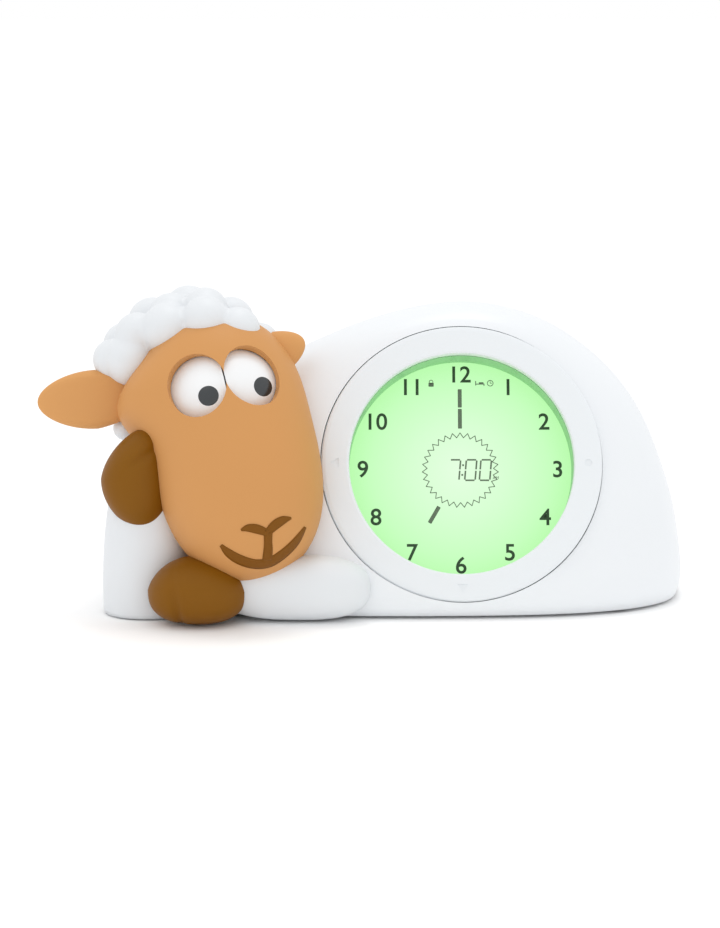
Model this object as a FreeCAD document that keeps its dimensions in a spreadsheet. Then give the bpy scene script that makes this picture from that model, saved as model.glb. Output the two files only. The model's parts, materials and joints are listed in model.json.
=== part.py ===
import FreeCAD, Part
import math
import os
import Sketcher

V = FreeCAD.Vector
doc = FreeCAD.newDocument("alarm_clock")

# Sizes in millimetres and degrees. The floor is z = 0, the front looks along -Y.
SIZES = {
    "centre_x": -0.5,
    "centre_y": 11.7,
    "case_width": 223.2,
    "case_depth": 119.8,
    "case_height": 112.7,
    "case_wall": 2.5,
    "case_bottom": 1.2,
    "case_split": 6,
    "seam_gap": 0.2,
    "dial_x": 38.4,
    "dial_y": -42,
    "dial_z": 56.6,
    "dial_tilt": 22,
    "ring_radius": 53.1,
    "ring_gap": 0.35,
    "ring_depth": 3,
    "ring_pocket": 4.5,
    "ring_press": 0.6,
    "bore_radius": 42.5,
    "collar_wall": 1.8,
    "collar_depth": 14.1,
    "shelf_thickness": 2.5,
    "window_thickness": 1.5,
    "panel_thickness": 2,
    "guide_thickness": 3,
    "tray_wall": 1.5,
    "tray_depth": 24,
    "board_thickness": 1.6,
    "standoff_offset": 34.5,
    "post_offset": 48.5,
    "head_x": -49,
    "head_y": -45,
    "head_z": 62.5,
    "head_roll": 15,
    "head_lean": 26,
    "head_yaw": 14,
    "head_half": 52.5,
    "head_radius": 30.3,
    "head_wall": 2.2,
    "eye_height": 17.5,
    "eye_forward": 7,
    "eye_swing": 28.2,
    "eye_shell": 2.5,
    "eye_end": 20,
    "eye_opening": 12.3,
    "eye_aim": 23,
    "pupil_radius": 3.7,
    "shaft_radius": 1.5,
    "gear_module": 0.8,
    "gear_teeth": 30,
    "pinion_teeth": 10,
    "gear_width": 3,
    "motor_radius": 5,
    "motor_length": 14,
    "plate_thickness": 2.5,
    "foot_radius": 7,
    "bay_x": 45,
    "bay_y": 4,
    "bay_length": 58.6,
    "bay_width": 48.6,
    "bay_height": 19.4,
    "bay_wall": 1.6,
    "door_thickness": 2,
    "door_gap": 0.5,
    "tongue_length": 9,
    "tongue_width": 12,
    "cell_radius": 7.25,
    "cell_length": 50.5,
    "cell_pitch": 15.2,
    "speaker_x": 14,
    "speaker_z": 38,
    "speaker_lean": 16,
    "speaker_radius": 20,
    "socket_x": 80,
    "socket_z": 16,
    "switch_x": -40,
    "switch_z": 16,
    "mainboard_x": -27,
    "mainboard_y": 8,
    "mainboard_z": 10,
    "mainboard_length": 62,
    "mainboard_width": 40,
    "screw_radius": 1.2,
    "arm_radius": 12,
    "arm_length": 49,
    "paw_length": 36.5,
    "cheek_paw_length": 36,
    "cheek_paw_width": 20.5,
    "cheek_x": -84.5,
    "cheek_y": -52,
    "cheek_z": 54,
    "leg_radius": 13,
    "leg_height": 38,
    "ear_length": 46,
    "ear_width": 21,
    "wool_thickness": 6,
}

sheet = doc.addObject("Spreadsheet::Sheet", "Sizes")
for row, (alias, amount) in enumerate(SIZES.items(), start=1):
    sheet.set("A%d" % row, alias)
    sheet.set("B%d" % row, str(amount))
    sheet.setAlias("B%d" % row, alias)
doc.recompute()

parts = {}


def size(alias):
    return float(sheet.get(alias))


def keep(obj, label):
    obj.Label = label
    parts[label] = obj
    return obj


# Where things sit: the casing, the tilted dial, the rear panel and the head each have a frame.
def case_frame(x=0.0, y=0.0, z=0.0):
    base = V(size("centre_x") + x, size("centre_y") + y, z)
    return FreeCAD.Placement(base, FreeCAD.Rotation())


def dial_frame():
    base = V(size("dial_x"), size("dial_y"), size("dial_z"))
    turn = FreeCAD.Rotation(V(1, 0, 0), 90 - size("dial_tilt"))
    return case_frame().multiply(FreeCAD.Placement(base, turn))


def head_frame():
    base = V(size("head_x"), size("head_y"), size("head_z"))
    roll = FreeCAD.Rotation(V(0, 1, 0), -size("head_roll"))
    lean = FreeCAD.Rotation(V(1, 0, 0), -size("head_lean"))
    yaw = FreeCAD.Rotation(V(0, 0, 1), size("head_yaw"))
    turn = roll.multiply(lean).multiply(yaw)
    return case_frame().multiply(FreeCAD.Placement(base, turn))


def rear_frame(x, z, lean):
    reach = rear_reach(x, z)
    turn = FreeCAD.Rotation(V(1, 0, 0), lean - 90)
    return case_frame().multiply(FreeCAD.Placement(V(x, reach, z), turn))


def bind_case(obj, x="0", y="0", z="0"):
    obj.setExpression("Placement.Base.x", "Sizes.centre_x + " + x)
    obj.setExpression("Placement.Base.y", "Sizes.centre_y + " + y)
    obj.setExpression("Placement.Base.z", z)


def bind_dial(obj):
    obj.Placement = dial_frame()
    bind_case(obj, "Sizes.dial_x", "Sizes.dial_y", "Sizes.dial_z")
    obj.setExpression("Placement.Rotation.Angle", "90 - Sizes.dial_tilt")


# Solids with bound sizes.
def cylinder(name, radius, height, x="0", y="0", z="0"):
    obj = doc.addObject("Part::Cylinder", name)
    obj.setExpression("Radius", radius)
    obj.setExpression("Height", height)
    obj.setExpression("Placement.Base.x", x)
    obj.setExpression("Placement.Base.y", y)
    obj.setExpression("Placement.Base.z", z)
    return obj


def cut(name, base, tool):
    obj = doc.addObject("Part::Cut", name)
    obj.Base = base
    obj.Tool = tool
    return obj


def fuse(name, shapes):
    obj = doc.addObject("Part::MultiFuse", name)
    obj.Shapes = shapes
    return obj


def plane_of(body, role):
    return [item for item in body.Origin.OriginFeatures if item.Role == role][0]


def closed_sketch(body, name, role, corners):
    sketch = body.newObject("Sketcher::SketchObject", name)
    sketch.AttachmentSupport = [(plane_of(body, role), "")]
    sketch.MapMode = "FlatFace"
    spots = []
    for across, along in corners:
        spots.append((float(sketch.evalExpression(across)), float(sketch.evalExpression(along))))
    count = len(spots)
    for i in range(count):
        start = V(spots[i][0], spots[i][1], 0)
        end = V(spots[(i + 1) % count][0], spots[(i + 1) % count][1], 0)
        sketch.addGeometry(Part.LineSegment(start, end), False)
    for i in range(count):
        sketch.addConstraint(Sketcher.Constraint("Coincident", i, 2, (i + 1) % count, 1))
    for i in range(count):
        number = sketch.addConstraint(Sketcher.Constraint("DistanceX", -1, 1, i, 1, spots[i][0]))
        sketch.setExpression("Constraints[%d]" % number, corners[i][0])
        number = sketch.addConstraint(Sketcher.Constraint("DistanceY", -1, 1, i, 1, spots[i][1]))
        sketch.setExpression("Constraints[%d]" % number, corners[i][1])
    return sketch


def turned_body(label, corners):
    body = doc.addObject("PartDesign::Body", label)
    sketch = closed_sketch(body, label + "_profile", "XZ_Plane", corners)
    turn = body.newObject("PartDesign::Revolution", label + "_turn")
    turn.Profile = sketch
    turn.ReferenceAxis = (plane_of(body, "Z_Axis"), [""])
    turn.Angle = 360
    return keep(body, label)


def feature(label, shape, frame):
    obj = doc.addObject("Part::Feature", label)
    obj.Shape = shape
    obj.Placement = frame.multiply(shape.Placement)
    return keep(obj, label)


# The casing: stacked rounded outlines. Each row holds height, left, right, front and back
# as shares of the case height, half width and half depth, then the squareness front and back.
OUTLINES = [
    (0.000, -0.985, 0.990, -0.985, 0.970, 3.1, 2.9),
    (0.058, -1.000, 1.000, -1.031, 0.990, 3.2, 3.0),
    (0.170, -0.998, 0.993, -0.949, 0.960, 3.6, 3.0),
    (0.325, -0.978, 0.965, -0.833, 0.890, 4.2, 2.9),
    (0.480, -0.868, 0.916, -0.712, 0.800, 4.6, 2.8),
    (0.630, -0.680, 0.850, -0.598, 0.690, 4.6, 2.7),
    (0.775, -0.448, 0.742, -0.489, 0.560, 4.0, 2.6),
    (0.860, -0.280, 0.645, -0.428, 0.470, 3.4, 2.5),
    (0.918, -0.146, 0.557, -0.380, 0.385, 2.9, 2.4),
    (0.963, -0.010, 0.455, -0.310, 0.290, 2.5, 2.3),
    (0.988, 0.100, 0.362, -0.220, 0.185, 2.2, 2.2),
    (0.999, 0.190, 0.285, -0.110, 0.080, 2.0, 2.0),
]
CASE_MIDDLE = 13.8


def outline_at(share):
    for low, high in zip(OUTLINES, OUTLINES[1:]):
        if low[0] <= share <= high[0]:
            part = (share - low[0]) / (high[0] - low[0])
            return [a + (b - a) * part for a, b in zip(low, high)]
    return list(OUTLINES[0])


def outline_points(row, inset):
    half_width = size("case_width") / 2
    half_depth = size("case_depth") / 2
    left = CASE_MIDDLE + row[1] * half_width + inset
    right = CASE_MIDDLE + row[2] * half_width - inset
    front = row[3] * half_depth + inset
    back = row[4] * half_depth - inset
    middle = (front + back) / 2
    points = []
    for step in range(24):
        angle = 2 * math.pi * (step + 0.5) / 24
        square = row[5] if math.sin(angle) < 0 else row[6]
        across = math.copysign(abs(math.cos(angle)) ** (2 / square), math.cos(angle))
        along = math.copysign(abs(math.sin(angle)) ** (2 / square), math.sin(angle))
        x = (left + right) / 2 + across * (right - left) / 2
        y = middle + along * (back - front) / 2
        points.append((x, y))
    return points


def outline_wire(row, inset, z):
    curve = Part.BSplineCurve()
    curve.interpolate([V(x, y, z) for x, y in outline_points(row, inset)], PeriodicFlag=True)
    return Part.Wire([curve.toShape()])


def case_solid(inset):
    low = size("case_bottom")
    tall = size("case_height") - low
    wires = []
    if inset:
        wires.append(outline_wire(OUTLINES[0], inset, low - 3))
    for row in OUTLINES:
        z = low + row[0] * tall - inset * row[0]
        shrink = min(inset, 0.4 * (row[2] - row[1]) * size("case_width") / 4)
        wires.append(outline_wire(row, shrink, z))
    return Part.makeLoft(wires, True, False)


def rear_reach(x, z):
    share = (z - size("case_bottom")) / (size("case_height") - size("case_bottom"))
    row = outline_at(share)
    half_width = (row[2] - row[1]) * size("case_width") / 4
    centre = CASE_MIDDLE + (row[1] + row[2]) * size("case_width") / 4
    ratio = min(0.98, abs(x - centre) / half_width)
    half_depth = (row[4] - row[3]) * size("case_depth") / 4
    middle = (row[3] + row[4]) * size("case_depth") / 4
    return middle + half_depth * (1 - ratio ** row[6]) ** (1 / row[6])


def front_reach(x, z):
    share = (z - size("case_bottom")) / (size("case_height") - size("case_bottom"))
    row = outline_at(share)
    half_width = (row[2] - row[1]) * size("case_width") / 4
    centre = CASE_MIDDLE + (row[1] + row[2]) * size("case_width") / 4
    ratio = min(0.98, abs(x - centre) / half_width)
    half_depth = (row[4] - row[3]) * size("case_depth") / 4
    middle = (row[3] + row[4]) * size("case_depth") / 4
    return middle - half_depth * (1 - ratio ** row[5]) ** (1 / row[5])


def disc(radius, low, high, x=0.0, y=0.0):
    return Part.makeCylinder(radius, high - low, V(x, y, low), V(0, 0, 1))


def on_dial(shape):
    result = shape.copy()
    result.Placement = case_frame().inverse().multiply(dial_frame()).multiply(result.Placement)
    return result


def on_head(shape):
    result = shape.copy()
    result.Placement = case_frame().inverse().multiply(head_frame()).multiply(result.Placement)
    return result


def standoff_spots():
    reach = size("standoff_offset")
    return [(a * reach, b * reach) for a in (-1, 1) for b in (-1, 1)]


def post_spots():
    reach = size("post_offset")
    return [(reach, 0), (0, reach), (-reach, 0), (0, -reach)]


# Egg shape of the head: radius along its axis, from the chin up, as shares of the radius.
HEAD_CURVE = [
    (0.00, 0.06), (0.012, 0.20), (0.05, 0.485), (0.10, 0.68), (0.17, 0.83),
    (0.26, 0.92), (0.38, 0.975), (0.52, 1.00), (0.66, 0.995), (0.78, 0.93),
    (0.88, 0.78), (0.95, 0.55), (0.985, 0.30), (1.00, 0.06),
]


def egg(inset):
    half = size("head_half") - inset
    wide = size("head_radius") - inset
    points = [V(share * wide, 0, (2 * up - 1) * half) for up, share in HEAD_CURVE]
    curve = Part.BSplineCurve()
    curve.interpolate(points)
    low = V(0, 0, -half)
    high = V(0, 0, half)
    sides = [Part.makeLine(points[-1], high), Part.makeLine(high, low), Part.makeLine(low, points[0])]
    face = Part.Face(Part.Wire([curve.toShape()] + sides))
    return face.revolve(V(0, 0, 0), V(0, 0, 1), 360)


# Front half of the casing, with the pocket for the ring, its shelf and the hole for the head.
def make_front_shell(outer, inner, skull):
    gap = size("seam_gap")
    half = size("case_split") - gap / 2
    front = Part.makeBox(400, 200, 200, V(-200, half - 200, -20))
    rim = size("ring_radius") + 3.6
    swell = on_dial(Part.makeCone(rim + 12, rim - 2.4, 9, V(0, 0, -9), V(0, 0, 1)))
    grown = outer.fuse(swell)
    band = on_dial(disc(rim, -size("ring_pocket") - size("shelf_thickness"), 0))
    shell = grown.cut(inner).fuse(grown.common(band)).common(front)
    pocket = size("ring_radius") + size("ring_gap")
    shell = shell.cut(on_dial(disc(pocket, -size("ring_pocket"), 12)))
    bore = size("bore_radius") + size("collar_wall") + 0.1
    shell = shell.cut(on_dial(disc(bore, -60, 1)))
    shelf_back = -size("ring_pocket") - size("shelf_thickness")
    posts = [disc(2.6, shelf_back - 6, shelf_back, x, y) for x, y in standoff_spots()]
    shell = shell.fuse(on_dial(Part.makeCompound(posts)))
    holes = [disc(2.6, -12, 0, x, y) for x, y in post_spots()]
    for x, y in standoff_spots():
        holes.append(disc(size("screw_radius"), shelf_back - 7, shelf_back + 1, x, y))
    shell = shell.cut(on_dial(Part.makeCompound(holes)))
    for x, y in boss_spots()[:2]:
        shell = shell.fuse(boss(outer, x, y)).cut(disc(1.45, 3, 16, x, y))
    shell = shell.cut(on_head(skull))
    shell = shell.cut(base_hollow())
    return feature("front_shell", largest(shell), case_frame())


def largest(shape):
    return sorted(shape.Solids, key=lambda solid: solid.Volume)[-1]


def boss_spots():
    spots = []
    for x in (-58, 98):
        spots.append((x, front_reach(x, 14) + 6.0))
    for x in (-70, 98):
        spots.append((x, rear_reach(x, 14) - 6.0))
    return spots


def boss(outer, x, y):
    return disc(4.6, size("case_bottom") + size("plate_thickness") + 0.1, 22, x, y).common(outer)


# Room at the foot of the casing for the floor plate and for the heads of its screws.
def base_hollow():
    low = size("case_bottom")
    row = OUTLINES[0]
    wire = outline_wire(row, size("case_wall"), low - 1)
    plate_room = Part.Face(wire).extrude(V(0, 0, size("plate_thickness") + 1.1))
    head_rooms = [disc(3.2, low - 1, low + size("plate_thickness") + 0.1, x, y) for x, y in boss_spots()]
    return plate_room.multiFuse(head_rooms)


# Everything up to just above the floor plate, which the parts behind the dial stay clear of.
def plate_room_on_dial():
    top = size("case_bottom") + size("plate_thickness") + 0.15
    room = Part.makeBox(400, 400, 60, V(-200, -200, top - 60))
    room.Placement = dial_frame().inverse().multiply(case_frame()).multiply(room.Placement)
    return room


# Rear half of the casing, with the speaker grille, the socket hole and the switch slot.
def make_rear_shell(outer, inner, skull):
    half = size("case_split") + size("seam_gap") / 2
    rear = Part.makeBox(400, 200, 200, V(-200, half, -20))
    shell = outer.cut(inner).common(rear)
    low = size("case_bottom")
    for x, z, flat in ((size("socket_x"), size("socket_z"), 9), (size("switch_x"), size("switch_z"), 11)):
        depth = rear_reach(x, z) - 6
        pad = Part.makeBox(2 * flat, 20, 13, V(x - flat, depth, z - 6.5))
        shell = shell.fuse(pad.common(outer))
    shell = shell.cut(Part.makeCylinder(4.1, 40, V(size("socket_x"), 30, size("socket_z")), V(0, 1, 0)))
    slot = Part.makeBox(11, 40, 4.4, V(size("switch_x") - 5.5, 30, size("switch_z") - 2.2))
    shell = shell.cut(slot)
    frame = case_frame().inverse().multiply(speaker_frame())
    holes = []
    for radius, count in ((0, 1), (6, 6), (12, 12)):
        for step in range(count):
            angle = 2 * math.pi * step / count
            holes.append(disc(1.3, -8, 8, radius * math.cos(angle), radius * math.sin(angle)))
    grille = Part.makeCompound(holes)
    grille.Placement = frame
    shell = shell.cut(grille)
    for x, y in boss_spots()[2:]:
        shell = shell.fuse(boss(outer, x, y)).cut(disc(1.45, 3, 16, x, y))
    cradle = disc(size("speaker_radius") + 2, -8, -1).cut(disc(size("speaker_radius") + 0.15, -9, 0))
    cradle.Placement = frame
    shell = shell.fuse(cradle.common(outer))
    seat = disc(size("speaker_radius") + 0.15, -20, -size("case_wall") - 0.35)
    seat.Placement = frame
    shell = shell.cut(seat)
    shell = shell.cut(on_head(skull))
    shell = shell.cut(base_hollow())
    return feature("rear_shell", largest(shell), case_frame())


def speaker_frame():
    return rear_frame(size("speaker_x"), size("speaker_z"), size("speaker_lean"))


# Floor plate that closes the casing, with the battery bay and the posts for the main board.
def make_base_plate():
    low = size("case_bottom")
    thick = size("plate_thickness")
    face = Part.Face(outline_wire(OUTLINES[0], size("case_wall") + 0.2, low))
    plate = face.extrude(V(0, 0, thick))
    length = size("bay_length")
    width = size("bay_width")
    wall = size("bay_wall")
    corner_x = size("bay_x") - length / 2
    corner_y = size("bay_y") - width / 2
    tall = size("bay_height")
    bay = Part.makeBox(length + 2 * wall, width + 2 * wall, tall, V(corner_x - wall, corner_y - wall, low))
    bay = bay.makeFillet(1.2, [edge for edge in bay.Edges if abs(edge.tangentAt(edge.FirstParameter).z) > 0.9])
    plate = plate.fuse(bay)
    hollow_top = tall - wall
    plate = plate.cut(Part.makeBox(length, width, hollow_top + 1, V(corner_x, corner_y, low - 1)))
    pivot_z = low + size("door_thickness") / 2
    pin_bore = Part.makeCylinder(0.9, width + 3, V(corner_x + 1.6, corner_y - 1.5, pivot_z), V(0, 1, 0))
    plate = plate.cut(pin_bore)
    end_x = corner_x + length
    reach = wall + size("tongue_length")
    room_width = size("tongue_width") + 2 * size("door_gap")
    ledge = Part.makeBox(reach + 1.6, room_width + 3.2, 9, V(end_x, size("bay_y") - room_width / 2 - 1.6, low))
    plate = plate.fuse(ledge)
    room = Part.makeBox(reach + 1, room_width, size("door_thickness") + 1.3,
                        V(end_x - 1, size("bay_y") - room_width / 2, low - 1))
    plate = plate.cut(room)
    plate = plate.cut(disc(1.7, low + 1, low + 8, door_screw_x(), size("bay_y")))
    for x, y in boss_spots():
        plate = plate.cut(disc(1.5, low - 1, low + thick + 1, x, y))
        plate = plate.cut(disc(3.2, low - 1, low + 1.2, x, y))
    for x, y in mainboard_spots():
        plate = plate.fuse(disc(3, low + thick - 0.5, size("mainboard_z"), x, y))
        plate = plate.cut(disc(1.0, low + thick + 1, size("mainboard_z") + 1, x, y))
    for x, y in foot_spots():
        plate = plate.cut(disc(2.5, low - 1, low + 1.2, x, y))
    return feature("base_plate", plate.removeSplitter(), case_frame())


def door_screw_x():
    end_x = size("bay_x") + size("bay_length") / 2
    return end_x + size("bay_wall") + size("tongue_length") / 2


def mainboard_spots():
    half_x = size("mainboard_length") / 2 - 4
    half_y = size("mainboard_width") / 2 - 4
    spots = []
    for a in (-1, 1):
        for b in (-1, 1):
            spots.append((size("mainboard_x") + a * half_x, size("mainboard_y") + b * half_y))
    return spots


def foot_spots():
    return [(-66, -34), (90, -36), (-70, 34), (96, 30)]


# Four soft feet, each with a stub that plugs into the floor plate.
def make_rubber_feet():
    low = size("case_bottom")
    feet = []
    for x, y in foot_spots():
        pad = disc(size("foot_radius"), 0, low, x, y)
        pad = pad.makeChamfer(0.4, [edge for edge in pad.Edges if edge.BoundBox.ZMax < 0.01])
        feet.append(pad.fuse(disc(2.4, low - 0.1, low + 1.1, x, y)).removeSplitter())
    return feature("rubber_feet", Part.makeCompound(feet), case_frame())


# Battery door: a plate with a rounded hinge edge, two pins, and a tongue that takes its screw.
def make_battery_door():
    low = size("case_bottom")
    gap = size("door_gap")
    thick = size("door_thickness")
    length = size("bay_length") - 2 * gap
    width = size("bay_width") - 2 * gap
    corner_x = size("bay_x") - size("bay_length") / 2 + gap
    corner_y = size("bay_y") - size("bay_width") / 2 + gap
    door = Part.makeBox(length, width, thick, V(corner_x, corner_y, low))
    hinge_edges = [edge for edge in door.Edges if abs(edge.CenterOfMass.x - corner_x) < 0.01]
    long_edges = [edge for edge in hinge_edges if abs(edge.tangentAt(edge.FirstParameter).y) > 0.9]
    door = door.makeFillet(0.95, long_edges)
    pin_x = size("bay_x") - size("bay_length") / 2 + 1.6
    pins = Part.makeCylinder(0.8, width + 2 * gap + 2, V(pin_x, corner_y - gap - 1, low + thick / 2), V(0, 1, 0))
    door = door.fuse(pins)
    screw_x = door_screw_x()
    reach = size("bay_wall") + size("tongue_length") + 1
    tongue = Part.makeBox(reach, size("tongue_width"), thick,
                          V(corner_x + length - 1, size("bay_y") - size("tongue_width") / 2, low))
    door = door.fuse(tongue)
    door = door.cut(disc(1.35, low - 1, low + thick + 1, screw_x, size("bay_y")))
    door = door.cut(Part.makeCone(2.75, 1.35, 1.4, V(screw_x, size("bay_y"), low), V(0, 0, 1)))
    for step in range(5):
        rib = Part.makeBox(18, 0.8, 0.5, V(screw_x - 28, size("bay_y") - 6.4 + 3 * step, low - 0.1))
        door = door.cut(rib)
    return feature("battery_door", door.removeSplitter(), case_frame())


def make_door_screw():
    body = turned_body("battery_door_screw", [
        ("0", "0.1"), ("2.5", "0.1"), ("Sizes.screw_radius", "1.4"),
        ("Sizes.screw_radius", "7"), ("0", "7"),
    ])
    slot = body.newObject("Sketcher::SketchObject", "door_screw_slot")
    slot.AttachmentSupport = [(plane_of(body, "XY_Plane"), "")]
    slot.MapMode = "FlatFace"
    slot.addGeometry(Part.Circle(V(0, 0, 0), V(0, 0, 1), 0.8), False)
    number = slot.addConstraint(Sketcher.Constraint("Radius", 0, 0.8))
    slot.setExpression("Constraints[%d]" % number, "Sizes.screw_radius * 0.66")
    pocket = body.newObject("PartDesign::Pocket", "door_screw_drive")
    pocket.Profile = slot
    pocket.Length = 0.9
    pocket.Reversed = True
    across = "Sizes.bay_x + Sizes.bay_length / 2 + Sizes.bay_wall + Sizes.tongue_length / 2"
    bind_case(body, across, "Sizes.bay_y", "Sizes.case_bottom")


def cell_rows():
    pitch = size("cell_pitch")
    return [size("bay_y") + pitch * step for step in (-1, 0, 1)]


def make_batteries():
    low = size("case_bottom") + size("door_thickness") + 0.6
    radius = size("cell_radius")
    length = size("cell_length")
    cells = []
    for number, y in enumerate(cell_rows()):
        start = size("bay_x") - length / 2
        axis = V(1, 0, 0)
        can = Part.makeCylinder(radius, length - 1, V(start, y, low + radius), axis)
        can = can.makeChamfer(0.5, [edge for edge in can.Edges if edge.Curve.TypeId == "Part::GeomCircle"])
        tip = Part.makeCylinder(2.7, 1.2, V(start + length - 1.2, y, low + radius), axis)
        cell = can.fuse(tip)
        if number == 1:
            cell.rotate(V(size("bay_x"), y, 0), V(0, 0, 1), 180)
        cells.append(cell)
    return feature("batteries", Part.makeCompound(cells), case_frame())


# Flat contact strips at one end of the cells and coil springs, drawn as cones, at the other.
def make_battery_contacts():
    low = size("case_bottom") + size("door_thickness") + 0.6 + size("cell_radius")
    pieces = []
    for number, y in enumerate(cell_rows()):
        for side in (-1, 1):
            wall_x = size("bay_x") + side * (size("bay_length") / 2 - 0.1)
            tag = Part.makeBox(0.4, 10, 9, V(wall_x - 0.2 - side * 0.2, y - 5, low - 4.5))
            pieces.append(tag)
            tip_side = 1 if number != 1 else -1
            if side != tip_side:
                cell_end = size("bay_x") + side * size("cell_length") / 2
                start = wall_x - side * 0.4
                length = abs(start - cell_end) - 0.1
                axis = V(-side, 0, 0)
                spring = Part.makeCone(4.2, 2.6, length, V(start, y, low), axis)
                spring = spring.cut(Part.makeCone(3.4, 1.8, length + 0.2, V(start + side * 0.1, y, low), axis))
                pieces.append(spring)
    return feature("battery_contacts", Part.makeCompound(pieces), case_frame())


def make_case_screws():
    low = size("case_bottom")
    screws = []
    for x, y in boss_spots():
        head = disc(2.9, low + 0.1, low + 1.2, x, y)
        shank = disc(1.35, low + 1.1, low + 12, x, y)
        drive = disc(1.0, low, low + 0.9, x, y)
        screws.append(head.fuse(shank).cut(drive).removeSplitter())
    return feature("case_screws", Part.makeCompound(screws), case_frame())


# Ring that frames the dial and is pressed in to work the four switches behind it.
def make_control_ring():
    turned_body("ring_plate", [
        ("Sizes.bore_radius", "-Sizes.ring_depth"),
        ("Sizes.ring_radius", "-Sizes.ring_depth"),
        ("Sizes.ring_radius", "-0.7"),
        ("Sizes.ring_radius - 0.5", "-0.15"),
        ("Sizes.ring_radius - 1.6", "0"),
        ("Sizes.bore_radius + 1", "0"),
        ("Sizes.bore_radius + 0.3", "-0.2"),
        ("Sizes.bore_radius", "-0.8"),
    ])
    plate = parts.pop("ring_plate")
    posts = []
    spots = (("Sizes.post_offset", "0"), ("0", "Sizes.post_offset"),
             ("-Sizes.post_offset", "0"), ("0", "-Sizes.post_offset"))
    for number, (x, y) in enumerate(spots):
        post = cylinder("ring_post_%d" % number, "2", "Sizes.ring_depth + 3", x, y, "-Sizes.ring_depth - 5.4")
        posts.append(post)
    marks = ring_marks()
    ring = fuse("ring_with_posts", [plate] + posts)
    whole = cut("control_ring_cut", ring, marks)
    bind_dial(whole)
    return keep(whole, "control_ring")


# Shallow pressed-in marks at nine, six and three o'clock.
def ring_marks():
    reach = (size("bore_radius") + size("ring_radius")) / 2
    left = Part.makePolygon([V(-reach - 1.7, 0, 0), V(-reach + 1.3, 1.9, 0), V(-reach + 1.3, -1.9, 0),
                             V(-reach - 1.7, 0, 0)])
    low = Part.makePolygon([V(0, -reach - 1.7, 0), V(-1.9, -reach + 1.3, 0), V(1.9, -reach + 1.3, 0),
                            V(0, -reach - 1.7, 0)])
    solids = [Part.Face(wire).extrude(V(0, 0, 1)) for wire in (left, low)]
    solids.append(disc(1.3, 0, 1, reach, 0))
    obj = doc.addObject("Part::Feature", "ring_marks")
    obj.Shape = Part.makeCompound(solids)
    obj.Placement = FreeCAD.Placement(V(0, 0, -0.3), FreeCAD.Rotation())
    return obj


# A disc or ring of the dial, given by its radii and its levels along the dial's own axis.
def dial_ring(label, inner, outer, low, high):
    body = turned_body(label, [(inner, low), (outer, low), (outer, high), (inner, high)])
    bind_dial(body)
    return body


def make_display():
    face = "-Sizes.collar_depth"
    glass = face + " - Sizes.window_thickness"
    panel = glass + " - Sizes.panel_thickness"
    guide = panel + " - Sizes.guide_thickness"
    rim = "Sizes.bore_radius + Sizes.collar_wall"
    dial_ring("display_collar", "Sizes.bore_radius", rim, face, "-Sizes.ring_pocket + 0.4")
    dial_ring("dial_window", "0", rim, glass, face)
    dial_ring("lcd_panel", "0", rim, panel, glass)
    dial_ring("light_guide", "0", rim, guide, panel)
    floor = "-Sizes.tray_depth"
    shelf = "-Sizes.ring_pocket - Sizes.shelf_thickness - 6 - Sizes.board_thickness"
    body = turned_body("reflector_tray", [
        ("0", floor), (rim + " + 1.6", floor), (rim + " + 1.6", shelf + " - 1.5"),
        ("Sizes.ring_radius - 1", shelf + " - 1.5"), ("Sizes.ring_radius - 1", shelf),
        (rim + " + 0.1", shelf), (rim + " + 0.1", guide), ("Sizes.bore_radius - 1", guide),
        ("Sizes.bore_radius - 1", floor + " + Sizes.tray_wall"), ("0", floor + " + Sizes.tray_wall"),
    ])
    bind_dial(body)
    board_top = floor + " - 0.1"
    dial_ring("display_board", "0", "Sizes.bore_radius - 2.5", board_top + " - Sizes.board_thickness", board_top)
    board_face = -size("tray_depth") - 0.1
    spots = [(20 * math.cos(math.pi * k / 3), 20 * math.sin(math.pi * k / 3)) for k in range(6)]
    lamps = [Part.makeBox(3, 2.8, 1.9, V(x - 1.5, y - 1.4, board_face)) for x, y in spots]
    holes = [Part.makeBox(4, 4, 3, V(x - 2, y - 2, board_face)) for x, y in spots]
    tray = parts.pop("reflector_tray")
    tool = doc.addObject("Part::Feature", "lamp_holes")
    screw_holes = [disc(1.5, -30, -10, x, y) for x, y in standoff_spots()]
    tool.Shape = Part.makeCompound(holes + screw_holes + [plate_room_on_dial()])
    tray.setExpression("Placement.Base.x", None)
    tray.setExpression("Placement.Base.y", None)
    tray.setExpression("Placement.Base.z", None)
    tray.setExpression("Placement.Rotation.Angle", None)
    tray.Placement = FreeCAD.Placement()
    whole = cut("reflector_tray_cut", tray, tool)
    bind_dial(whole)
    keep(whole, "reflector_tray")
    feature("display_leds", Part.makeCompound(lamps), dial_frame())


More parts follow.
